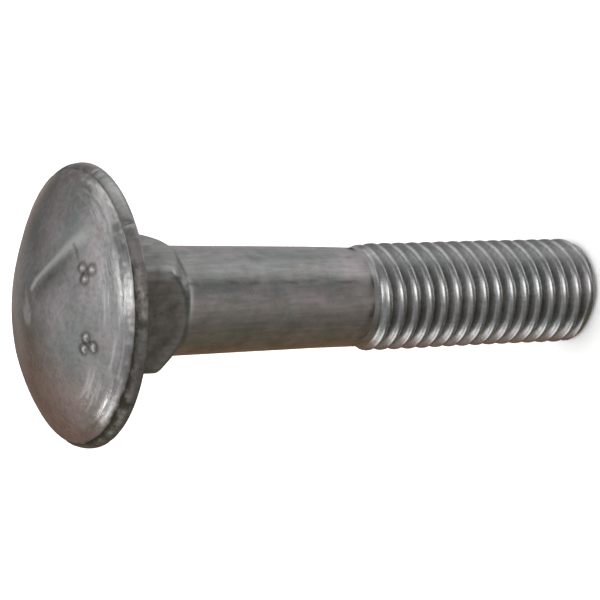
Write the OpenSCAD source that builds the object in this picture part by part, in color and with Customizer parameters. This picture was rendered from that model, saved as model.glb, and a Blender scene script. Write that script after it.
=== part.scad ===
// Carriage bolt: cup head, square neck, tapered shank and rolled metric thread, forged in one piece.
// The bolt stands on the flat of its threaded end, with its axis on Z and its head up.

/* [Head] */
// Diameter of the head across its rim
head_d = 24.6; // [22:0.1:28]
// Radius of the spherical crown
crown_r = 19.8; // [17:0.1:26]
// Height of the rim, from the bearing face to the edge of the crown
rim_h = 1.1; // [1:0.05:2]
// How far the edge of the crown lies inside the rim
rim_bevel = 0.45; // [0.2:0.05:0.8]
// Height of the bevel between the crown and the side of the rim
rim_bevel_h = 0.5; // [0.2:0.05:0.6]
// Radius of the edge round the bearing face
rim_edge_r = 0.15; // [0.05:0.05:0.3]

/* [Head marks] */
// Height of the raised pips above the crown
mark_h = 0.12; // [0.06:0.01:0.2]
// Radius to which each pip is rounded
mark_r = 0.45; // [0.35:0.05:0.6]
// Pips in each of the two groups
mark_count = 3; // [1:1:4]
// Distance from the middle of a group to each of its pips
mark_spread = 0.62; // [0.5:0.02:0.8]
// Distance of the middle of each group from the axis
mark_ring_r = 8; // [5:0.1:9]
// Directions of the two groups
mark_angles = [-52, -96];

/* [Neck] */
// Width of the square neck across its flats
neck_w = 9.9; // [9.8:0.05:10.6]
// Length of the neck's corners, from the bearing face to the cone that ends them
neck_h = 5.6; // [3:0.05:8]
// Radius of the neck's four corner edges
neck_corner_r = 0.4; // [0.2:0.05:1.2]
// Half angle of the cone that runs the neck's corners down to the shank
neck_cone_angle = 41; // [30:1:60]

/* [Shank] */
// Length from the bearing face to the point
length = 51.1; // [48:0.1:80]
// Diameter of the shank where it leaves the neck
shank_top_d = 9.7; // [9.2:0.05:9.7]
// Diameter of the shank where it meets the thread
shank_d = 9.05; // [8.8:0.05:9.2]

/* [Thread] */
// Diameter over the crests
thread_d = 9.85; // [9.7:0.01:10]
// Distance from one turn to the next
pitch = 1.5; // [1.25:0.25:2]
// Threaded length, from the point to the shank
thread_l = 24.6; // [15:0.1:34]
// Direction of the crest that runs out of the point
thread_start = 90; // [0:5:355]
// Length over which the thread grows out of the shank
runout_l = 1; // [0.6:0.1:3]
// Length of the chamfer at the point
point_l = 1.05; // [0.5:0.05:2]
// Diameter of the flat at the point
point_d = 8.8; // [7:0.1:9.2]

/* [Hidden] */
// Flat steps in one turn of the thread
turn_steps = 32;
// Steps in one turn of every other curve
curve_fn = 96;
// How far solids that are joined or cut run into each other
lap = 0.4;
// How far the faceted thread stays inside the true cone of the shank it joins
join_step = 0.01;

head_r = head_d / 2;
crown_edge_r = head_r - rim_bevel;
crown_centre = rim_h - sqrt(crown_r * crown_r - crown_edge_r * crown_edge_r);
neck_corner_in = neck_w / 2 - neck_corner_r;
neck_reach = neck_corner_in * sqrt(2) + neck_corner_r;
neck_cone_l = (neck_reach - shank_top_d / 2) / tan(neck_cone_angle);

// The thread's form follows its pitch: steep flanks, rounded crests and narrow roots
thread_depth = pitch * 0.56;
crest_w = pitch * 0.16;
crest_shoulder_w = pitch * 0.37;
crest_drop = pitch / 15;
root_w = pitch * 0.11;
crest_r = thread_d / 2;
root_r = crest_r - thread_depth;
core_r = root_r / 2;

// One pitch of the thread's profile, as heights from the middle of a crest and radii
profile = [
    [-crest_w / 2, crest_r],
    [crest_w / 2, crest_r],
    [crest_shoulder_w / 2, crest_r - crest_drop],
    [(pitch - root_w) / 2, root_r],
    [(pitch + root_w) / 2, root_r],
    [pitch - crest_shoulder_w / 2, crest_r - crest_drop]
];
knots = len(profile);
profile_table = concat(profile, [[pitch - crest_w / 2, crest_r]]);

function clamp(x, low, high) = min(max(x, low), high);

// Radius of the full thread at a height above the middle of a crest
function full_r(z) =
    let (turn = floor((z + crest_w / 2) / pitch))
    lookup(z - turn * pitch, profile_table);

// Radius of the thread once it has faded into the shank at its upper end
function faded_r(z, r) =
    let (share = clamp((thread_l - z) / runout_l, 0, 1))
    shank_d / 2 - join_step + share * (r - shank_d / 2 + join_step);

// One point of the thread, on column s and row k, held between the two ends of the thread
function thread_point(s, k, low) =
    let (
        rise = pitch * s / turn_steps,
        turn = floor(k / knots) - 2,
        z = rise + turn * pitch + profile[k % knots][0],
        held = clamp(z, low, thread_l),
        r = held == z ? profile[k % knots][1] : full_r(held - rise),
        a = thread_start + 360 * s / turn_steps
    )
    [faded_r(held, r) * cos(a), faded_r(held, r) * sin(a), held];

// Rolled thread: one continuous helix on its own core, flat at both ends
module thread_helix(low) {
    rows = knots * (ceil(thread_l / pitch) + 4);
    side = [for (s = [0:turn_steps - 1], k = [0:rows - 1]) thread_point(s, k, low)];
    foot = len(side);
    points = concat(side, [[0, 0, low], [0, 0, thread_l]]);
    // After a whole turn each row meets the row that lies one pitch higher
    at = [
        for (s = [0:turn_steps], k = [0:rows - 1])
            s < turn_steps ? s * rows + k : min(k + knots, rows - 1)
    ];
    triangles = concat(
        [for (s = [0:turn_steps - 1], k = [0:rows - 2])
            [at[s * rows + k], at[s * rows + k + 1], at[(s + 1) * rows + k + 1]]],
        [for (s = [0:turn_steps - 1], k = [0:rows - 2])
            [at[s * rows + k], at[(s + 1) * rows + k + 1], at[(s + 1) * rows + k]]],
        [for (s = [0:turn_steps - 1]) [foot, at[s * rows], at[(s + 1) * rows]]],
        [for (s = [0:turn_steps - 1]) [foot + 1, at[(s + 2) * rows - 1], at[(s + 1) * rows - 1]]]
    );
    polyhedron(
        points,
        [for (t = triangles)
            if (points[t[0]] != points[t[1]] && points[t[1]] != points[t[2]] && points[t[2]] != points[t[0]]) t]
    );
}

// Rolled thread with the chamfer that ends it at the point
module thread() {
    color("silver")
        intersection() {
            thread_helix(-lap);
            rotate_extrude($fn = curve_fn)
                polygon([
                    [0, 0],
                    [point_d / 2, 0],
                    [point_d / 2 + (crest_r - point_d / 2) * 2, point_l * 2],
                    [crest_r + 1, thread_l + 1],
                    [0, thread_l + 1]
                ]);
        }
}

// Shank tapering down to the thread, with the core that carries the thread
module shank() {
    color("silver")
        rotate_extrude($fn = curve_fn)
            polygon([
                [0, thread_l - lap],
                [core_r, thread_l - lap],
                [core_r, thread_l],
                [shank_d / 2, thread_l],
                [shank_top_d / 2, length - neck_h - neck_cone_l],
                [shank_top_d / 2, length - lap],
                [0, length - lap]
            ]);
}

// Square neck whose corners run out on a cone above the shank
module neck() {
    color("silver")
        intersection() {
            translate([0, 0, length - neck_h - neck_cone_l])
                linear_extrude(neck_h + neck_cone_l + lap) {
                    square([neck_w, neck_corner_in * 2], center = true);
                    square([neck_corner_in * 2, neck_w], center = true);
                    for (x = [-1, 1], y = [-1, 1])
                        translate([x, y] * neck_corner_in)
                            circle(neck_corner_r, $fn = curve_fn);
                }
            rotate_extrude($fn = curve_fn)
                polygon([
                    [0, length - neck_h - neck_cone_l],
                    [shank_top_d / 2, length - neck_h - neck_cone_l],
                    [neck_reach + lap, length - neck_h + lap / tan(neck_cone_angle)],
                    [neck_reach + lap, length + 2 * lap],
                    [0, length + 2 * lap]
                ]);
        }
}

// Cup head: spherical crown over a low bevelled rim
module head() {
    color("silver")
        translate([0, 0, length])
            rotate_extrude($fn = curve_fn)
                intersection() {
                    translate([0, crown_centre])
                        circle(crown_r, $fn = 4 * curve_fn);
                    union() {
                        square([head_r - rim_edge_r, rim_h]);
                        square([crown_edge_r, rim_h + crown_r]);
                        translate([head_r - rim_edge_r, rim_edge_r])
                            circle(rim_edge_r, $fn = curve_fn);
                        polygon([
                            [0, rim_edge_r],
                            [head_r, rim_edge_r],
                            [head_r, rim_h - rim_bevel_h],
                            [crown_edge_r, rim_h],
                            [0, rim_h]
                        ]);
                    }
                }
}

// Two groups of plain raised pips, which stand for the forger's marks
module head_marks() {
    color("silver")
        translate([0, 0, length + crown_centre])
            for (a = mark_angles)
                rotate([0, asin(mark_ring_r / crown_r), a])
                    for (i = [0:mark_count - 1])
                        rotate([0, 0, 360 * i / mark_count])
                            translate([mark_spread, 0, crown_r - mark_r + mark_h])
                                sphere(mark_r, $fn = curve_fn);
}

module bolt() {
    head();
    head_marks();
    neck();
    shank();
    thread();
}

bolt();
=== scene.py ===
import math

import bmesh
import bpy
import numpy as np
from mathutils import Matrix, Vector


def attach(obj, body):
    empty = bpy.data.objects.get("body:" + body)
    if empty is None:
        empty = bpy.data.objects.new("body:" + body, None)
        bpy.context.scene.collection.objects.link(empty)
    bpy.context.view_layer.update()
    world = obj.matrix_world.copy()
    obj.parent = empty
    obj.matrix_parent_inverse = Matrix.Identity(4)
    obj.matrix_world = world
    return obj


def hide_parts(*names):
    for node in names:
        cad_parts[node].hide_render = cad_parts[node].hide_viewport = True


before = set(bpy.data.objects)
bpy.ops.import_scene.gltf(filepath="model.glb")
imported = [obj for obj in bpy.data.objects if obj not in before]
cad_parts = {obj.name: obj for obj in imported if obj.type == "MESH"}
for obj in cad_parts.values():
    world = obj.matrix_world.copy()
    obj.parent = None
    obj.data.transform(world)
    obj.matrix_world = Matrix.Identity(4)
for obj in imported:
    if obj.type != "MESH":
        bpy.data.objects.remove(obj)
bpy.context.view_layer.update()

# Sizes of the bolt in millimetres, as in the part's own source
MM = 0.001
LENGTH = 51.1
HEAD_R = 12.3
CROWN_R = 19.8
RIM_H = 1.1
RIM_BEVEL = 0.45
MARK_H = 0.12
MARK_COUNT = 3
MARK_SPREAD = 0.62
MARK_RING_R = 8.0
MARK_ANGLES = (-52, -96)
NECK_W = 9.9
NECK_H = 5.6
NECK_CORNER_R = 0.4
NECK_CONE_ANGLE = math.radians(41)
SHANK_TOP_R = 4.85
SHANK_R = 4.525
CREST_R = 4.925
PITCH = 1.5
THREAD_DEPTH = 0.84
THREAD_L = 24.6
THREAD_START = math.radians(90)
RUNOUT_L = 1.0
POINT_L = 1.05
POINT_R = 4.4

CROWN_EDGE_R = HEAD_R - RIM_BEVEL
CROWN_CENTRE = LENGTH + RIM_H - math.sqrt(CROWN_R**2 - CROWN_EDGE_R**2)
NECK_REACH = (NECK_W / 2 - NECK_CORNER_R) * math.sqrt(2) + NECK_CORNER_R
CONE_TOP = LENGTH - NECK_H
CONE_END = CONE_TOP - (NECK_REACH - SHANK_TOP_R) / math.tan(NECK_CONE_ANGLE)


def smooth(x, low, high):
    """0 below low, 1 above high, and a soft step between them."""
    t = np.clip((x - low) / (high - low), 0, 1)
    return t * t * (3 - 2 * t)


def soft_min(a, b, k):
    """The smaller of a and b, rounded over k where they are nearly equal."""
    h = np.clip(0.5 + 0.5 * (b - a) / k, 0, 1)
    return b * (1 - h) + a * h - k * h * (1 - h)


def bell(x, middle, reach):
    """1 at the middle, and softly less to both sides of it."""
    return np.exp(-(((x - middle) / reach) ** 2))


def plateau(x, middle, reach):
    """1 round the middle, and quickly less beyond reach."""
    return np.exp(-(((x - middle) / reach) ** 4))


def degrees_off(turn, middle):
    """Degrees from a middle direction, given in degrees, to a turn in radians."""
    return np.degrees(np.angle(np.exp(1j * (turn - np.radians(middle)))))


def lobe(turn, middle, reach):
    """1 at the middle direction, in degrees, and softly less to both sides of it."""
    return bell(degrees_off(turn, middle), 0, reach)


def waves(u, v, seed, low, high, count):
    """Soft unevenness round a turned form: u is an angle and v a length, both as arrays."""
    rng = np.random.default_rng(seed)
    total = np.zeros(np.broadcast(u, v).shape)
    for _ in range(count):
        turns = rng.integers(0, high)
        rate = rng.uniform(low, high) / 6
        total += np.sin(turns * u + rate * v + rng.uniform(0, 2 * math.pi)) / count
    return total


def turned(r, turn, z):
    """Points at radius r, turn and height z, as arrays of one shape."""
    return np.stack([r * np.cos(turn), r * np.sin(turn), z], axis=-1)


# The neck, shank and thread lie a little out of line with the head, as forged: the direction, and how
# far in millimetres at each height
BEND_TURN = math.radians(18)
BEND_HEIGHTS = (0, 10, 14, 18, 23, 25.5, 29, 43.5, LENGTH)
BEND_SHIFTS = (0, 0, -0.01, -0.05, -0.05, 0.0, 0.072, 0.171, 0.2)


def bend(points):
    """Points of the neck, shank or thread, shifted as forged."""
    shift = np.interp(points[:, 2], BEND_HEIGHTS, BEND_SHIFTS)
    way = np.array([math.cos(BEND_TURN), math.sin(BEND_TURN), 0])
    return points + shift[:, None] * way


def grid_mesh(name, points, faces, marks, material):
    """A smooth piece from points in millimetres.

    Marks holds values from 0 to 1 at each point, for dirt with painted shade, wear with painted
    highlights, scoring and rolled steel.
    """
    mesh = bpy.data.meshes.new(name)
    mesh.from_pydata((points * MM).tolist(), [], faces.tolist())
    for mark in ("grime_and_shade", "wear_and_sheen", "scored", "rolled"):
        layer = mesh.attributes.new(mark, "FLOAT", "POINT")
        values = marks.get(mark, np.zeros(len(points)))
        layer.data.foreach_set("value", np.clip(values, 0, 1).astype(np.float32))
    mesh.polygons.foreach_set("use_smooth", np.ones(len(mesh.polygons), dtype=bool))
    mesh.materials.append(material)
    mesh.validate()
    piece = bpy.data.objects.new(name, mesh)
    bpy.context.scene.collection.objects.link(piece)
    return piece


def ring_faces(rows, columns):
    """Faces between rings of points, outward when the rings run from the top down."""
    r, c = np.meshgrid(np.arange(rows - 1), np.arange(columns), indexing="ij")
    right = (c + 1) % columns
    corners = [r * columns + c, (r + 1) * columns + c, (r + 1) * columns + right, r * columns + right]
    return np.stack(corners, axis=-1).reshape(-1, 4)


def path_distance(x, y, path):
    """Distance of each place from a line through a few points, and the share of the line passed there."""
    best = np.full(x.shape, 1e9)
    share = np.zeros(x.shape)
    spans = len(path) - 1
    for i, (a, b) in enumerate(zip(np.array(path[:-1]), np.array(path[1:]))):
        way = b - a
        t = np.clip(((x - a[0]) * way[0] + (y - a[1]) * way[1]) / way.dot(way), 0, 1)
        d = np.hypot(x - a[0] - t * way[0], y - a[1] - t * way[1])
        share = np.where(d < best, (i + t) / spans, share)
        best = np.minimum(best, d)
    return best, share


# The forging lap across the crown, from near its middle to its edge, in millimetres seen from above
LAP = [(1.2, 0.5), (2.4, -0.2), (3.7, -1.4), (5.1, -2.5), (6.5, -3.5), (7.3, -4.3), (8.1, -5.2)]
# A crease that branches off the lap
CREASE = [(6.6, -3.8), (6.2, -4.4), (5.7, -4.9), (5.1, -5.4)]
# Middles of the worn patch and of the faint stain beside the crown's middle
PATCH = (-0.7, 0.8)
STAIN = (-0.9, -2.0)
# Groups of single scratches: direction in degrees, distance from the axis, number
SCRATCHES = [(-121, 9.5, 6), (-68, 10.0, 5), (-30, 10.8, 9), (-95, 10.8, 4), (-12, 10.9, 4)]
# Scored bands: direction and reach in degrees, distance from the axis and half width, strength
SCORED_BANDS = [
    (-32, 26, 10.9, 0.8, 0.62), (-30, 26, 11.65, 0.25, 0.8), (-42, 16, 9.8, 0.7, 0.3),
    (-68, 20, 9.9, 1.2, 0.4), (-68, 16, 11.4, 0.5, 0.9), (-122, 15, 9.4, 0.7, 0.55),
    (-121, 15, 11.1, 0.6, 0.8), (-100, 9, 11.2, 0.4, 0.5), (150, 60, 10.2, 1.4, 0.4),
    (60, 50, 10.6, 1.0, 0.4),
]
NICKS = 54
# Broad forms of the crown towards its edge: direction and reach in degrees, rise in millimetres
PRESSED = [(80, 23, -0.22), (142, 29, 0.13)]
# The most that any point of the crown or its pips rises, a little less than the solid's pips do
MOST_RISE = 0.11


def lap_marks(x, y):
    """Rise, painted shade and painted highlight of the forging lap and its crease, by the place seen from
    above.
    """
    off, along = path_distance(x, y, LAP)
    # The lap is a ridge with a painted highlight along it and painted shade in a hollow on its positive
    # side
    side = off * np.sign(1.28 - 0.62 * x - 0.78 * y)
    ridge = bell(side, -0.1, 0.2 + 0.75 * along**2)
    ends = smooth(along, -0.01, 0.05) * (1 - smooth(along, 0.8, 1))
    rise = 0.035 * ends * (ridge - 0.9 * bell(side, 0.9, 0.75))
    grime_and_shade = 0.6 * ends * bell(along, 0.3, 0.3) * bell(side, 0.95, 0.6)
    wear_and_sheen = (1.1 + 0.5 * (1 - smooth(along, 0.1, 0.3))) * ends * ridge

    off, along = path_distance(x, y, CREASE)
    fading = 1 - smooth(along, 0.6, 1)
    # Painted shade along the crease
    grime_and_shade += 0.5 * fading * bell(off, 0, 0.14)
    rise -= 0.008 * fading * bell(off, 0, 0.2)
    return rise, grime_and_shade, wear_and_sheen


def crown_marks(t, a):
    """Rise, dirt and painted shade, wear and painted highlights, and scoring of the crown, by the tilt
    from its middle and the turn round it.
    """
    r = CROWN_R * np.sin(t)
    x, y = r * np.cos(a), r * np.sin(a)
    rise, grime_and_shade, wear_and_sheen = lap_marks(x, y)
    scored = np.zeros(t.shape)

    # Worn patch and faint stain beside the crown's middle
    px, py = x - PATCH[0], y - PATCH[1]
    patch = np.hypot(0.8 * px + 0.5 * py, 1.6 * (0.8 * py - 0.5 * px))
    uneven = waves(a, 3 * r, seed=17, low=1, high=9, count=10)
    wear_and_sheen += 0.75 * (1 - smooth(patch + 1.2 * uneven, 0.6, 1.9))
    grime_and_shade += 0.14 * bell(np.hypot(x - STAIN[0], y - STAIN[1]), 0.2, 1.1)

    # Single scratches that run nearly round the axis
    rng = np.random.default_rng(27)
    for turn, radius, count in SCRATCHES:
        for _ in range(count):
            away = degrees_off(a, turn + rng.uniform(-8, 8))
            line = radius + rng.uniform(-0.7, 0.7) + rng.uniform(-0.02, 0.02) * away
            reach, deep = rng.uniform(4, 12), rng.uniform(0.4, 1.0)
            wear_and_sheen += deep * plateau(away, 0, reach) * bell(r, line, 0.07)

    for turn, reach, radius, half, gain in SCORED_BANDS:
        scored += gain * plateau(degrees_off(a, turn), 0, reach) * plateau(r, radius, half)

    # Small nicks along the edge of the crown
    for _ in range(NICKS):
        turn, radius, size = rng.uniform(-112, 25), rng.uniform(11.0, 11.8), rng.uniform(0.11, 0.19)
        away = np.radians(degrees_off(a, turn)) * radius
        spot = bell(np.hypot(r - radius, 0.8 * away), 0, size)
        rise -= rng.uniform(0.002, 0.010) * spot
        wear_and_sheen += rng.uniform(0.1, 0.8) * spot

    # Painted shade along the edge of the crown, beside the rim, on the side at -118 degrees
    ragged = 0.05 * waves(a, 2 * r, seed=19, low=5, high=40, count=12)
    grime_and_shade += 0.6 * smooth(r + ragged, 11.35, 11.65) * lobe(a, -118, 26)
    return rise, grime_and_shade, wear_and_sheen, scored


def pip_distances(t, a):
    """Distance of each place on the crown from each of the raised pips."""
    ring_t = math.asin(MARK_RING_R / CROWN_R)
    for angle in MARK_ANGLES:
        middle = math.radians(angle)
        for i in range(MARK_COUNT):
            way = 2 * math.pi * i / MARK_COUNT
            x = (t - ring_t) * CROWN_R - MARK_SPREAD * math.cos(way)
            y = np.sin(a - middle) * MARK_RING_R - MARK_SPREAD * math.sin(way)
            yield np.where(np.cos(a - middle) > 0, np.hypot(x, y), CROWN_R)


def crown_points(turn):
    """The crown as rings from its middle to its edge, with its dirt and painted shade, wear and painted
    highlights, and scoring.
    """
    tilt_edge = math.asin(CROWN_EDGE_R / CROWN_R)
    tilt = np.concatenate([
        np.linspace(0.004, tilt_edge * 0.9, 120),
        tilt_edge * np.array([0.91, 0.92, 0.93, 0.94, 0.95, 0.96, 0.97, 0.98, 0.988, 0.995]),
    ])
    t, a = np.meshgrid(tilt, turn, indexing="ij")
    arc = t * CROWN_R
    dent = 0.02 * waves(a, arc, seed=3, low=1, high=6, count=14) * smooth(t, 0.02, 0.2)
    for middle, reach, rise in PRESSED:
        dent += rise * lobe(a, middle, reach) * smooth(arc, 6, 10)
    # The near side of the crown's edge is worn to a round shoulder
    near = smooth(np.cos(a - math.radians(-70)), -0.1, 0.4)
    dent += near * (0.11 * bell(arc, 11.4, 0.8) - 0.2 * np.clip((arc - 11.5) / 1.3, 0, 1) ** 1.6)
    rise, grime_and_shade, wear_and_sheen, scored = crown_marks(t, a)
    rise += dent
    for off in pip_distances(t, a):
        rise += MARK_H * (1 - smooth(off, 0.12, 0.4))
        # Painted shade in a ring round the foot of each pip
        grime_and_shade += 0.55 * bell(off, 0.45, 0.16)
        scored += 1 - smooth(off, 0.1, 0.32)
        # A painted highlight on the top of each pip
        wear_and_sheen += 0.7 * (1 - smooth(off, 0.05, 0.3))
    radius = CROWN_R + np.minimum(rise, MOST_RISE)
    points = turned(radius * np.sin(t), a, CROWN_CENTRE + radius * np.cos(t))
    return points, grime_and_shade, wear_and_sheen, scored


# The rim's outline from the edge of the crown to the bearing face: distance outward from that edge,
# height from it, and dirt with painted shade
RIM = np.array([
    (-0.02, 0.005, 0.85), (0.03, -0.03, 0.8), (0.12, -0.12, 0.6), (0.24, -0.27, 0.5),
    (0.34, -0.42, 0.45), (0.40, -0.56, 0.42), (0.43, -0.70, 0.36), (0.44, -0.85, 0.3),
    (0.44, -0.98, 0.22), (0.42, -1.05, 0.2), (0.38, -1.09, 0.25), (0.30, -1.1, 0.4),
])
RIM_CHIPS = 34
# Radii of the rings of the bearing face, from the rim in to where the neck covers them
FACE_R = np.array([11.9, 11.5, 10.5, 9.2, 8.0, 7.2, 6.7, 6.0, 5.0, 4.2])


def rim_points(turn):
    """The rim as rings down to the bearing face, worn along its edge and chipped."""
    rng = np.random.default_rng(8)
    wear = 0.03 * (1 + waves(turn, 0 * turn, seed=5, low=2, high=40, count=18))
    for _ in range(RIM_CHIPS):
        at = rng.uniform(0, 2 * math.pi)
        wide = rng.uniform(0.015, 0.05)
        off = np.abs((turn - at + math.pi) % (2 * math.pi) - math.pi)
        wear += rng.uniform(0.02, 0.11) * (1 - smooth(off, 0, wide))
    row = np.arange(len(RIM))
    share = smooth(row, -1, 4) * (1 - 0.85 * smooth(row, 5, 10))
    r = CROWN_EDGE_R + RIM[:, :1] - share[:, None] * wear
    z = LENGTH + RIM_H + RIM[:, 1:2] + 0 * r
    z[:3] -= 0.4 * wear
    # One side of the rim is drawn down a little
    z -= 0.05 * smooth(row, 2, 9)[:, None] * lobe(turn, -122, 34)
    return turned(r, turn, z)


def head_points(columns):
    """The crown, rim and bearing face as rings from the crown's middle to the neck, with their marks."""
    turn = np.linspace(0, 2 * math.pi, columns, endpoint=False)
    crown, grime_and_shade, wear_and_sheen, scored = crown_points(turn)
    rim = rim_points(turn)
    r = FACE_R[:, None] + 0 * turn
    under = turned(r, turn, LENGTH + 0 * r)

    speckle = waves(turn[None, :], 4 * (RIM_H + RIM[:, 1:2]), seed=31, low=3, high=60, count=40)
    rim_dirt_and_shade = RIM[:, 2:] + 0.22 * speckle
    # Painted shade darkens the rim at -68 and -128 degrees, and the side at -12 degrees is left lighter
    rim_dirt_and_shade += 0.48 * lobe(turn, -68, 24) + 0.36 * lobe(turn, -128, 28)
    rim_dirt_and_shade *= 1 - 0.75 * lobe(turn, -12, 44)
    # Painted shade on the bearing face, darker towards the neck
    under_face_shade = (0.7 - 0.5 * smooth(FACE_R, 5, 12))[:, None] + 0 * turn
    # Dirt and painted shade gather on the last rings of the crown, towards the rim, and less of them on
    # the side at -24 degrees
    edge_dirt_and_shade = np.array([0.1, 0.3, 0.6])[:, None] * (1 + 2 * speckle[:1])
    grime_and_shade[-3:] += edge_dirt_and_shade * (1 - 0.85 * lobe(turn, -24, 34))
    plain = np.zeros((len(RIM) + len(FACE_R), columns))
    marks = {
        "grime_and_shade": np.concatenate([grime_and_shade, rim_dirt_and_shade, under_face_shade]),
        "wear_and_sheen": np.concatenate([wear_and_sheen, plain]),
        "scored": np.concatenate([scored, plain]),
    }
    return np.concatenate([crown, rim, under]), marks


def build_head(material):
    columns = 440
    rings, marks = head_points(columns)
    points = rings.reshape(-1, 3)
    tip = len(points)
    faces = ring_faces(len(rings), columns).tolist()
    faces += [[tip, c, (c + 1) % columns] for c in range(columns)]
    points = np.concatenate([points, [[0, 0, CROWN_CENTRE + CROWN_R]]])
    marks = {name: np.append(values, values[0, 0]) for name, values in marks.items()}
    return grid_mesh("head", points, np.array(faces, dtype=object), marks, material)


# The neck as worn: its turn, and the radii of its corners, the first between +X and +Y and so on round
NECK_TURN = math.radians(-4.5)
CORNER_RS = np.array([1.4, 1.1, 0.75, 1.2])
# How much nearer the thread the cone lies: direction and reach in degrees, shift in millimetres
CONE_SHIFTS = [(40.5, 20, 1.1), (220.5, 17, -0.24), (276, 32, -0.3), (335, 22, -0.45)]


def square_r(turn):
    """Radius of the neck's square outline along each direction, with corners that are worn unevenly."""
    turn = (turn - NECK_TURN) % (2 * math.pi)
    corner_r = CORNER_RS[(turn // (math.pi / 2)).astype(int)]
    inner = NECK_W / 2 - corner_r
    a = (turn + math.pi / 4) % (math.pi / 2) - math.pi / 4
    flat = NECK_W / 2 / np.cos(a)
    b = math.pi / 4 - np.abs(a)
    reach = inner * math.sqrt(2)
    corner = reach * np.cos(b) + np.sqrt(np.maximum(corner_r**2 - (reach * np.sin(b)) ** 2, 0))
    return np.where(flat * np.abs(np.sin(a)) > inner, corner, flat)


def neck_marks(a, z, shank, cone, square):
    """Dirt, painted shade and painted highlights of the neck and shank, by the turn, the height and the
    radii of their forms.
    """
    uneven = waves(a, z, seed=41, low=2, high=20, count=24)
    # The flats are darker, unevenly and more towards 240 degrees
    on_flats = 0.35 + 0.5 * uneven + 0.22 * np.cos(a - math.radians(240))
    on_flats *= smooth(cone - square, -0.2, 1.7) * smooth(z, CONE_END, CONE_END + 1)
    # Painted shade under the head
    under_head_shade = 0.7 * smooth(z, LENGTH - 1.3, LENGTH)
    by_thread = (0.4 + 1.6 * uneven) * (1 - smooth(z, THREAD_L, THREAD_L + 1.2))
    # A painted shadow along the foot of the cone, on one side
    cone_foot_shadow = 0.45 * bell(cone - shank, 0, 0.2) * lobe(a, -33, 22)
    # A broken dark line along the shank
    dashes = 0.55 * lobe(a, -55 + 1.15 * np.sin(1.3 * z), 2.3)
    dashes *= smooth(np.sin(2.1 * z + 1.2 * np.sin(z)), -0.8, 0.6) * smooth(z, THREAD_L, THREAD_L + 3)
    grime_and_shade = np.maximum.reduce([on_flats, under_head_shade, by_thread, cone_foot_shadow, dashes])
    # Painted highlights along the cone's end and on the near corner
    wear_and_sheen = 0.75 * bell(cone - shank, -0.15, 0.2) * lobe(a, -70, 25)
    wear_and_sheen += (0.5 + 0.8 * uneven) * lobe(a, -47.5, 2.6) * smooth(cone - square, -0.3, 0.2)
    return grime_and_shade, wear_and_sheen


def build_neck(material):
    """The square neck, the cone that ends its corners, and the shank down to the thread."""
    columns = 360
    turn = np.linspace(0, 2 * math.pi, columns, endpoint=False)
    heights = np.concatenate([
        np.linspace(LENGTH, CONE_TOP + 0.4, 30, endpoint=False),
        np.linspace(CONE_TOP + 0.4, CONE_END - 0.5, 80, endpoint=False),
        np.linspace(CONE_END - 0.5, THREAD_L, 110),
    ])
    z, a = np.meshgrid(heights, turn, indexing="ij")
    fall = np.clip((CONE_END - z) / (CONE_END - THREAD_L), 0, 1)
    shank = SHANK_TOP_R + (SHANK_R - SHANK_TOP_R) * fall
    shift = sum(far * lobe(a, corner, reach) for corner, reach, far in CONE_SHIFTS)
    # The cone's angle is smaller at the neck's first corner
    slope = math.tan(NECK_CONE_ANGLE) * (1 - 0.45 * lobe(a, 40.5, 26))
    cone = SHANK_TOP_R + (z - CONE_END + shift) * slope
    square = square_r(a)
    neck = soft_min(square, cone, 0.35)
    blend = 0.12
    r = np.where(neck > shank - blend, -soft_min(-shank, -neck, blend), np.maximum(shank, neck))
    r = np.minimum(r, square + 0.2 * smooth(z, CONE_TOP, CONE_END))
    r += 0.012 * waves(a, z, seed=11, low=1, high=6, count=16) * smooth(z, THREAD_L, THREAD_L + 1) - 0.008
    # Small fillet under the head
    r += 0.25 * bell(z, LENGTH, 0.18)
    points = bend(turned(r, a, z).reshape(-1, 3))
    grime_and_shade, wear_and_sheen = neck_marks(a, z, shank, cone, square)
    marks = {"grime_and_shade": grime_and_shade.reshape(-1), "wear_and_sheen": wear_and_sheen.reshape(-1)}
    return grid_mesh("neck", points, ring_faces(len(heights), columns), marks, material)


# Steepness of the thread's flanks, and how much of a pitch its rounded crest and root take to each side
FLANK = math.radians(61)
CREST_SHARE = 0.235
ROOT_SHARE = 0.07


def thread_form():
    """One pitch of the rolled thread: heights above the middle of a crest in pitches, depths in mm."""
    tilt = np.linspace(0, FLANK, 6)
    crest_drop = -np.log(np.cos(tilt)) * PITCH * CREST_SHARE / FLANK
    root_rise = -np.log(np.cos(tilt)) * PITCH * ROOT_SHARE / FLANK
    crest_x = CREST_SHARE * tilt / FLANK
    root_x = 0.5 - ROOT_SHARE * tilt / FLANK
    depth = crest_drop[-1] + math.tan(FLANK) * (root_x[-1] - crest_x[-1]) * PITCH + root_rise[-1]
    x = np.concatenate([crest_x, np.linspace(crest_x[-1], root_x[-1], 4)[1:-1], root_x[::-1]])
    d = np.concatenate([
        crest_drop,
        np.linspace(crest_drop[-1], depth - root_rise[-1], 4)[1:-1],
        (depth - root_rise)[::-1],
    ])
    d *= THREAD_DEPTH / depth
    return np.concatenate([x, 1 - x[-2::-1]]), np.concatenate([d, d[-2::-1]])


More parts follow.
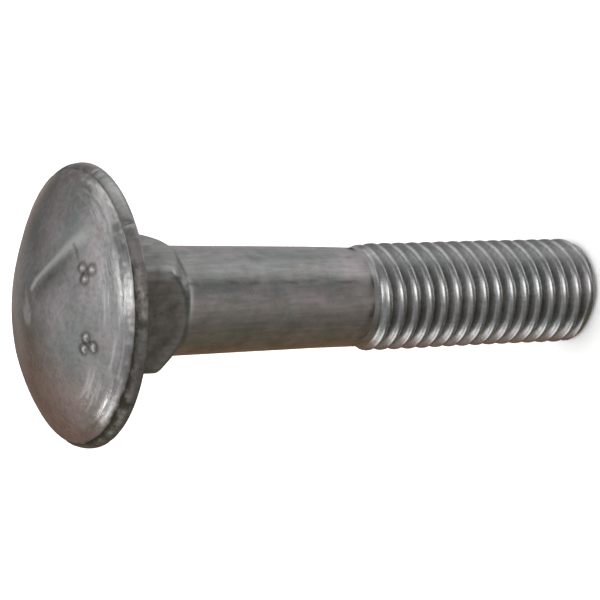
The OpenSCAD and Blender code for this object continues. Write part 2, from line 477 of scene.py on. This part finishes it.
def thread_radius(a, z, share):
    """Radius and dirt of the thread by turn, height and share of a pitch above the crest."""
    depth = np.interp(share, *thread_form())
    swell = 0.02 * waves(a, z, seed=21, low=1, high=7, count=12)
    full = CREST_R - 0.01 - depth * (1 + 0.03 * np.sin(3 * a + z)) + np.minimum(swell, 0.008)
    # The run-out ends unevenly round the shank
    late = 0.45 - 0.15 * np.cos(a - math.radians(18))
    fade = smooth(THREAD_L - late - z, 0, RUNOUT_L + 0.15 * np.sin(a) + 0.1 * np.sin(5 * a))
    r = SHANK_R - 0.01 + fade * (full - SHANK_R + 0.01)
    # The point is ground away a little more on one side
    more = lobe(a, -112, 34)
    point_l = POINT_L + 0.6 * more
    up = np.clip(z / point_l, 0, 1)
    curve = (1 - 0.6 * more) * np.sqrt(1 - (1 - up) ** 2) + 0.6 * more * up
    point = POINT_R - 0.3 * more + (CREST_R - POINT_R + 0.3 * more) * curve
    r = np.where(z < point_l, soft_min(r, point, 0.06), r)
    # Painted shade lies in the roots, and less of it on the side towards 30 degrees
    grime_and_shade = smooth(CREST_R - r, 0.30, 0.84) * (0.3 + 0.7 * fade)
    grime_and_shade *= 0.42 + 0.4 * np.cos(a - math.radians(-150))
    return r, grime_and_shade


def build_thread(material):
    """The rolled thread as one helix, from its run-out at the shank to the chamfered point."""
    columns = 220
    form_x, _ = thread_form()
    knots = len(form_x) - 1
    rows = knots * (math.ceil(THREAD_L / PITCH) + 4)
    step = np.arange(columns + 1)[:, None]
    k = np.arange(rows)
    rise = PITCH * step / columns
    high = (k // knots - 2 + form_x[k % knots]) * PITCH
    z = np.clip(rise + high, 0, THREAD_L)
    a = THREAD_START + 2 * math.pi * step / columns + 0 * z
    r, grime_and_shade = thread_radius(a, z, ((z - rise) / PITCH) % 1.0)
    points = turned(r, a, z)[:columns].reshape(-1, 3)
    dirt_and_shade = grime_and_shade[:columns].reshape(-1)

    # After a whole turn each row meets the row that lies one pitch higher
    at = np.arange(columns * rows).reshape(columns, rows)
    seam = np.minimum(np.arange(rows) + knots, rows - 1)
    at = np.concatenate([at, at[0, seam][None, :]])
    faces = np.stack([at[:-1, :-1], at[1:, :-1], at[1:, 1:], at[:-1, 1:]], axis=-1).reshape(-1, 4)
    height = points[:, 2]
    low, top = height <= 1e-9, height >= THREAD_L - 1e-9
    flat = low[faces].all(axis=1) | top[faces].all(axis=1)
    face_list = faces[~flat].tolist()

    # The flat of the point, as rings in to its middle
    edge = at[:columns, 0]
    rings = [points[edge] * [s, s, 1] for s in (0.985, 0.93, 0.75, 0.5, 0.25)]
    points = bend(np.concatenate([points, *rings, [[0, 0, 0]]]))
    start = columns * rows
    loops = [edge] + [start + i * columns + np.arange(columns) for i in range(len(rings))]
    for outer, inner in zip(loops, loops[1:]):
        for c in range(columns):
            d = (c + 1) % columns
            face_list.append([int(outer[c]), int(inner[c]), int(inner[d]), int(outer[d])])
    middle = len(points) - 1
    face_list += [[int(loops[-1][c]), middle, int(loops[-1][(c + 1) % columns])] for c in range(columns)]
    dirt_and_shade = np.concatenate([dirt_and_shade, np.full(len(points) - len(dirt_and_shade), 0.1)])
    marks = {"grime_and_shade": dirt_and_shade, "rolled": np.ones(len(points))}
    piece = grid_mesh("thread", points, np.array(face_list, dtype=object), marks, material)
    weld(piece)
    return piece


def weld(piece):
    """Joins the points that lie on one another at the two ends of the helix."""
    work = bmesh.new()
    work.from_mesh(piece.data)
    bmesh.ops.remove_doubles(work, verts=work.verts, dist=1e-8)
    bmesh.ops.dissolve_degenerate(work, edges=work.edges, dist=1e-8)
    work.to_mesh(piece.data)
    work.free()


class Graph:
    """Short calls that add nodes to one node tree and link them."""

    def __init__(self, tree):
        self.tree = tree

    def node(self, kind):
        return self.tree.nodes.new("ShaderNode" + kind)

    def feed(self, socket, value):
        """Links a value that another node gives, and sets any other value on the socket."""
        if isinstance(value, bpy.types.NodeSocket):
            self.tree.links.new(value, socket)
        else:
            socket.default_value = value

    def calc(self, operation, *values):
        node = self.node("Math")
        node.operation = operation
        for socket, value in zip(node.inputs, values):
            self.feed(socket, value)
        return node.outputs[0]

    def mix(self, share, a, b, blend="MIX"):
        """Colour a turning to colour b with share, or b laid over a in another way."""
        node = self.node("Mix")
        node.data_type = "RGBA"
        node.blend_type = blend
        for socket, value in ((node.inputs[0], share), (node.inputs[6], a), (node.inputs[7], b)):
            self.feed(socket, value)
        return node.outputs[2]

    def spread(self, value, low, high, to_low=0, to_high=1, kind="LINEAR"):
        """A value moved from the range low to high into the range to_low to to_high."""
        node = self.node("MapRange")
        node.interpolation_type = kind
        node.inputs["From Min"].default_value = low
        node.inputs["From Max"].default_value = high
        node.inputs["To Min"].default_value = to_low
        node.inputs["To Max"].default_value = to_high
        self.feed(node.inputs["Value"], value)
        return node.outputs["Result"]

    def noise(self, place, scale, detail, rough=0.5):
        node = self.node("TexNoise")
        node.inputs["Scale"].default_value = scale
        node.inputs["Detail"].default_value = detail
        node.inputs["Roughness"].default_value = rough
        self.feed(node.inputs["Vector"], place)
        return node.outputs["Fac"]

    def attribute(self, name):
        node = self.node("Attribute")
        node.attribute_name = name
        return node.outputs["Fac"]


# Colours of the steel: two of its clean surface, a brown bloom, the rolled thread, rubbed metal that also
# paints highlights, and dirt that also paints shade
CLEAN_COOL = (0.455, 0.49, 0.47, 1)
CLEAN_WARM = (0.64, 0.595, 0.605, 1)
BLOOM = (0.42, 0.375, 0.36, 1)
ROLLED = (0.565, 0.58, 0.585, 1)
RUBBED_AND_HIGHLIGHT = (0.86, 0.87, 0.85, 1)
DIRT_AND_SHADE = (0.08, 0.075, 0.055, 1)


def scored_lines(graph, place, scale, reach):
    """Fine lines that run round the bolt: a noise of the distance from the axis, slow round it."""
    split = graph.node("SeparateXYZ")
    graph.feed(split.inputs["Vector"], place)
    x, y, _ = split.outputs
    square = graph.calc("ADD", graph.calc("MULTIPLY", x, x), graph.calc("MULTIPLY", y, y))
    radius = graph.calc("SQRT", square)
    join = graph.node("CombineXYZ")
    graph.feed(join.inputs["X"], radius)
    graph.feed(join.inputs["Y"], graph.calc("MULTIPLY", graph.calc("DIVIDE", x, radius), reach))
    graph.feed(join.inputs["Z"], graph.calc("MULTIPLY", graph.calc("DIVIDE", y, radius), reach))
    return graph.noise(join.outputs["Vector"], scale, 2)


def steel():
    """Satin steel as forged and rolled, with fine scratches, faint stains, dirt, painted shade in hollows
    and painted highlights.
    """
    material = bpy.data.materials.new("steel")
    material.use_nodes = True
    shader = material.node_tree.nodes["Principled BSDF"]
    shader.inputs["Metallic"].default_value = 1.0
    graph = Graph(material.node_tree)
    spread, mix = graph.spread, graph.mix
    place = graph.node("TexCoord").outputs["Object"]
    lengthways = graph.node("Mapping")
    lengthways.inputs["Scale"].default_value = (1, 1, 0.12)
    graph.feed(lengthways.inputs["Vector"], place)

    def add(a, b, gain):
        return graph.calc("MULTIPLY_ADD", b, gain, a)

    # Wear and painted highlights, which lighten the colour towards rubbed metal
    wear = graph.attribute("wear_and_sheen")
    marked = graph.attribute("scored")
    stain = graph.noise(place, 220, 4, 0.6)
    blotch = graph.noise(place, 900, 5, 0.65)
    grain = graph.noise(place, 5200, 3, 0.6)
    drawn = graph.noise(lengthways.outputs["Vector"], 2600, 3, 0.55)
    lines = spread(scored_lines(graph, place, 5500, 0.0016), 0.42, 0.62)
    streak = graph.calc("MULTIPLY", marked, lines)
    # Dirt and painted shade from the marks darken the colour
    dirt_and_shade = graph.calc("MULTIPLY", graph.attribute("grime_and_shade"), spread(blotch, 0.3, 0.7, 0.7, 1.35))

    clean = mix(spread(stain, 0.38, 0.62), CLEAN_COOL, CLEAN_WARM)
    clean = mix(spread(blotch, 0.48, 0.7, 0, 0.6), clean, BLOOM)
    clean = mix(spread(graph.attribute("rolled"), 0, 1, 0, 0.6), clean, ROLLED)
    clean = mix(1.0, clean, spread(drawn, 0.35, 0.65, 0.86, 1.07), "MULTIPLY")
    bright = mix(add(graph.calc("MULTIPLY", wear, 0.7), streak, 0.6), clean, RUBBED_AND_HIGHLIGHT)
    graph.feed(shader.inputs["Base Color"], mix(dirt_and_shade, bright, DIRT_AND_SHADE))

    rough = add(spread(stain, 0.3, 0.7, 0.20, 0.30), blotch, 0.06)
    rough = add(rough, dirt_and_shade, 0.28)
    rough = add(rough, wear, 0.25)
    rough = add(rough, marked, -0.07)
    graph.feed(shader.inputs["Roughness"], rough)

    height = add(spread(grain, 0, 1, 0, 0.35), drawn, 0.5)
    height = add(height, blotch, 1.1)
    height = add(height, stain, 2.0)
    height = add(height, streak, 0.8)
    bump = graph.node("Bump")
    bump.inputs["Strength"].default_value = 0.45
    bump.inputs["Distance"].default_value = 0.00002
    graph.feed(bump.inputs["Height"], height)
    graph.feed(shader.inputs["Normal"], bump.outputs["Normal"])
    return material


# Half the side of the floor in metres, and the two pale greys between which it varies
FLOOR_REACH = 3.0
FLOOR_GREYS = ((0.86, 0.86, 0.855, 1), (0.88, 0.88, 0.88, 1))


def build_floor():
    mesh = bpy.data.meshes.new("floor")
    s = FLOOR_REACH
    mesh.from_pydata([(-s, -s, 0), (s, -s, 0), (s, s, 0), (-s, s, 0)], [], [(0, 1, 2, 3)])
    material = bpy.data.materials.new("pale_floor")
    material.use_nodes = True
    shader = material.node_tree.nodes["Principled BSDF"]
    shader.inputs["Roughness"].default_value = 0.9
    shader.inputs["Specular IOR Level"].default_value = 0.1
    graph = Graph(material.node_tree)
    noise = graph.node("TexNoise")
    noise.inputs["Scale"].default_value = 40
    graph.feed(shader.inputs["Base Color"], graph.mix(noise.outputs["Fac"], *FLOOR_GREYS))
    mesh.materials.append(material)
    floor = bpy.data.objects.new("floor", mesh)
    bpy.context.scene.collection.objects.link(floor)
    floor.visible_glossy = False


# Direction from the bolt's axis to the camera, level with the floor
VIEW_TURN = math.radians(-72)

# The light that the bolt reflects from below eye level, by the angle in degrees round the bolt from
# the camera's side
LOW_RING = [
    (-180, (0.24, 0.17, 0.13)), (-150, (0.165, 0.115, 0.065)), (-125, (0.145, 0.105, 0.06)),
    (-95, (0.165, 0.14, 0.105)), (-65, (0.152, 0.14, 0.112)), (-45, (0.20, 0.18, 0.16)),
    (-20, (0.30, 0.27, 0.255)), (5, (0.295, 0.275, 0.265)), (24, (0.205, 0.205, 0.20)),
    (32, (0.185, 0.185, 0.18)), (44, (0.30, 0.295, 0.29)), (58, (0.58, 0.57, 0.575)),
    (80, (0.55, 0.54, 0.55)), (100, (0.42, 0.42, 0.43)), (130, (0.42, 0.43, 0.44)),
    (178, (0.42, 0.34, 0.30)),
]
# The light from above eye level, by the sine of its height above the horizon
HIGH_LOW = -0.05
HIGH_RAMP = [
    (HIGH_LOW, (0.15, 0.14, 0.13)), (0.25, (0.17, 0.165, 0.16)), (0.5, (0.20, 0.20, 0.20)),
    (0.7, (0.25, 0.25, 0.255)), (0.86, (0.33, 0.33, 0.335)), (0.94, (0.40, 0.40, 0.405)),
    (0.985, (0.45, 0.45, 0.46)), (1.0, (0.5, 0.5, 0.51)),
]
# Sines of height between which the one turns to the other
EYE_LEVEL = (-0.25, 0.05)

# Soft boxes: angle round the bolt and height above the horizon in degrees, reach in degrees of the full
# and of the fading light, strength
SOFT_BOXES = [
    (75, 78, 4, 16, 0.55), (35, 82, 2, 7, 1.5), (122, 54, 5, 17, 0.31), (150, 42, 3, 11, 0.14),
    (142, 20, 5, 19, 0.09), (178, 2, 3, 12, 0.14), (94, 8, 18, 35, 0.6), (-18, 5, 12, 38, 0.12),
    (50, -55, 8, 20, 0.5), (-150, 46, 10, 34, 0.14), (5, 6, 6, 20, 2.0), (7, 29, 6, 20, 1.8),
    (9, 52, 5, 15, 1.05), (-98, 14, 10, 26, 1.3), (-122, 40, 2, 9.5, 2.0),
]
# A brown wooden bench beyond the head, with its place and reach in the same terms
BENCH = (-142, 8, 26, 44, 0.9)
BENCH_BROWN = (0.20, 0.128, 0.096, 1)
# The dark table before the bolt
TABLE = (-60, -72, 12, 38, 0.85)
TABLE_DARK = (0.085, 0.10, 0.09, 1)
BACKDROP = (0.95, 0.95, 0.95, 1)

# Overhead light: place and size in metres, strength in watts
LAMP_PLACE = (0.1, 0.25, 1.3)
LAMP_SIZE = 2.4
LAMP_WATTS = 42


def ramp(graph, share, stops, low, high):
    """Colours along share, with stops given by values from low to high."""
    node = graph.node("ValToRGB")
    node.color_ramp.interpolation = "EASE"
    elements = node.color_ramp.elements
    for _ in stops[2:]:
        elements.new(0.5)
    for element, (at, colour) in zip(elements, stops):
        element.position = (at - low) / (high - low)
        element.color = (*colour, 1)
    graph.feed(node.inputs["Fac"], share)
    return node.outputs["Color"]


def light_lobe(graph, way, turn, rise, inner, outer, gain):
    """The gain within inner degrees of a direction, fading to nothing at outer degrees."""
    t, e = math.radians(turn), math.radians(rise)
    dot = graph.node("VectorMath")
    dot.operation = "DOT_PRODUCT"
    graph.feed(dot.inputs[0], way)
    dot.inputs[1].default_value = (math.cos(t) * math.cos(e), math.sin(t) * math.cos(e), math.sin(e))
    edge, full = math.cos(math.radians(outer)), math.cos(math.radians(inner))
    return graph.spread(dot.outputs["Value"], edge, full, 0, gain, "SMOOTHSTEP")


def build_studio():
    """The room that the bolt reflects, a plain backdrop for the camera, and the light on the floor."""
    world = bpy.data.worlds.new("studio")
    bpy.context.scene.world = world
    world.use_nodes = True
    world.node_tree.nodes.clear()
    graph = Graph(world.node_tree)
    mapping = graph.node("Mapping")
    mapping.vector_type = "POINT"
    mapping.inputs["Rotation"].default_value = (0, 0, -VIEW_TURN)
    graph.feed(mapping.inputs["Vector"], graph.node("TexCoord").outputs["Generated"])
    way = mapping.outputs["Vector"]
    split = graph.node("SeparateXYZ")
    graph.feed(split.inputs["Vector"], way)

    x, y, z = split.outputs
    turn = graph.calc("ADD", graph.calc("DIVIDE", graph.calc("ARCTAN2", y, x), 2 * math.pi), 0.5)
    below = ramp(graph, turn, LOW_RING, -180, 180)
    high = graph.calc("DIVIDE", graph.calc("SUBTRACT", z, HIGH_LOW), 1 - HIGH_LOW)
    above = ramp(graph, high, HIGH_RAMP, HIGH_LOW, 1.0)
    room = graph.mix(graph.spread(z, *EYE_LEVEL, kind="SMOOTHSTEP"), below, above)
    room = graph.mix(light_lobe(graph, way, *BENCH), room, BENCH_BROWN)
    room = graph.mix(light_lobe(graph, way, *TABLE), room, TABLE_DARK)
    glow = light_lobe(graph, way, *SOFT_BOXES[0])
    for box in SOFT_BOXES[1:]:
        glow = graph.calc("ADD", glow, light_lobe(graph, way, *box))
    room = graph.mix(1.0, room, glow, "ADD")

    # The camera sees a plain pale backdrop beyond the floor
    seen = graph.node("LightPath").outputs["Is Camera Ray"]
    background = graph.node("Background")
    graph.feed(background.inputs["Color"], graph.mix(seen, room, BACKDROP))
    output = graph.node("OutputWorld")
    graph.feed(output.inputs["Surface"], background.outputs["Background"])

    # Soft overhead light that whitens the floor and leaves the metal to its reflections
    light = bpy.data.lights.new("overhead", "AREA")
    light.shape = "DISK"
    light.size = LAMP_SIZE
    light.energy = LAMP_WATTS
    lamp = bpy.data.objects.new("overhead", light)
    lamp.location = LAMP_PLACE
    lamp.rotation_euler = (-lamp.location).to_track_quat("-Z", "Y").to_euler()
    lamp.visible_glossy = False
    bpy.context.scene.collection.objects.link(lamp)


# The fitted camera: its place in millimetres, its axes, its focal length and the frame's width in
# pixels, and the width of its sensor in millimetres
CAMERA_PLACE = (60.42, -186.41, 143.59)
CAMERA_RIGHT = (0.12374, -0.48762, -0.86424)
CAMERA_UP = (0.95566, 0.29309, -0.02853)
CAMERA_BACK = (0.26721, -0.82239, 0.50227)
FOCAL_PIXELS = 2518
FRAME_PIXELS = 600
SENSOR = 36


def build_camera():
    """The photograph's camera: a long lens that looks 30 degrees down, turned so that the head is left."""
    data = bpy.data.cameras.new("camera")
    data.sensor_width = SENSOR
    data.lens = SENSOR * FOCAL_PIXELS / FRAME_PIXELS
    data.clip_start = 0.01
    data.clip_end = 20
    camera = bpy.data.objects.new("camera", data)
    axes = Matrix((CAMERA_RIGHT, CAMERA_UP, CAMERA_BACK)).transposed().to_4x4()
    camera.matrix_world = Matrix.Translation(Vector(CAMERA_PLACE) * MM) @ axes
    bpy.context.scene.collection.objects.link(camera)
    bpy.context.scene.camera = camera


build_camera()
build_studio()
build_floor()
metal = steel()
for piece in (build_head(metal), build_neck(metal), build_thread(metal)):
    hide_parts("bolt")
    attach(piece, "root")

bpy.context.scene.view_settings.view_transform = "Standard"
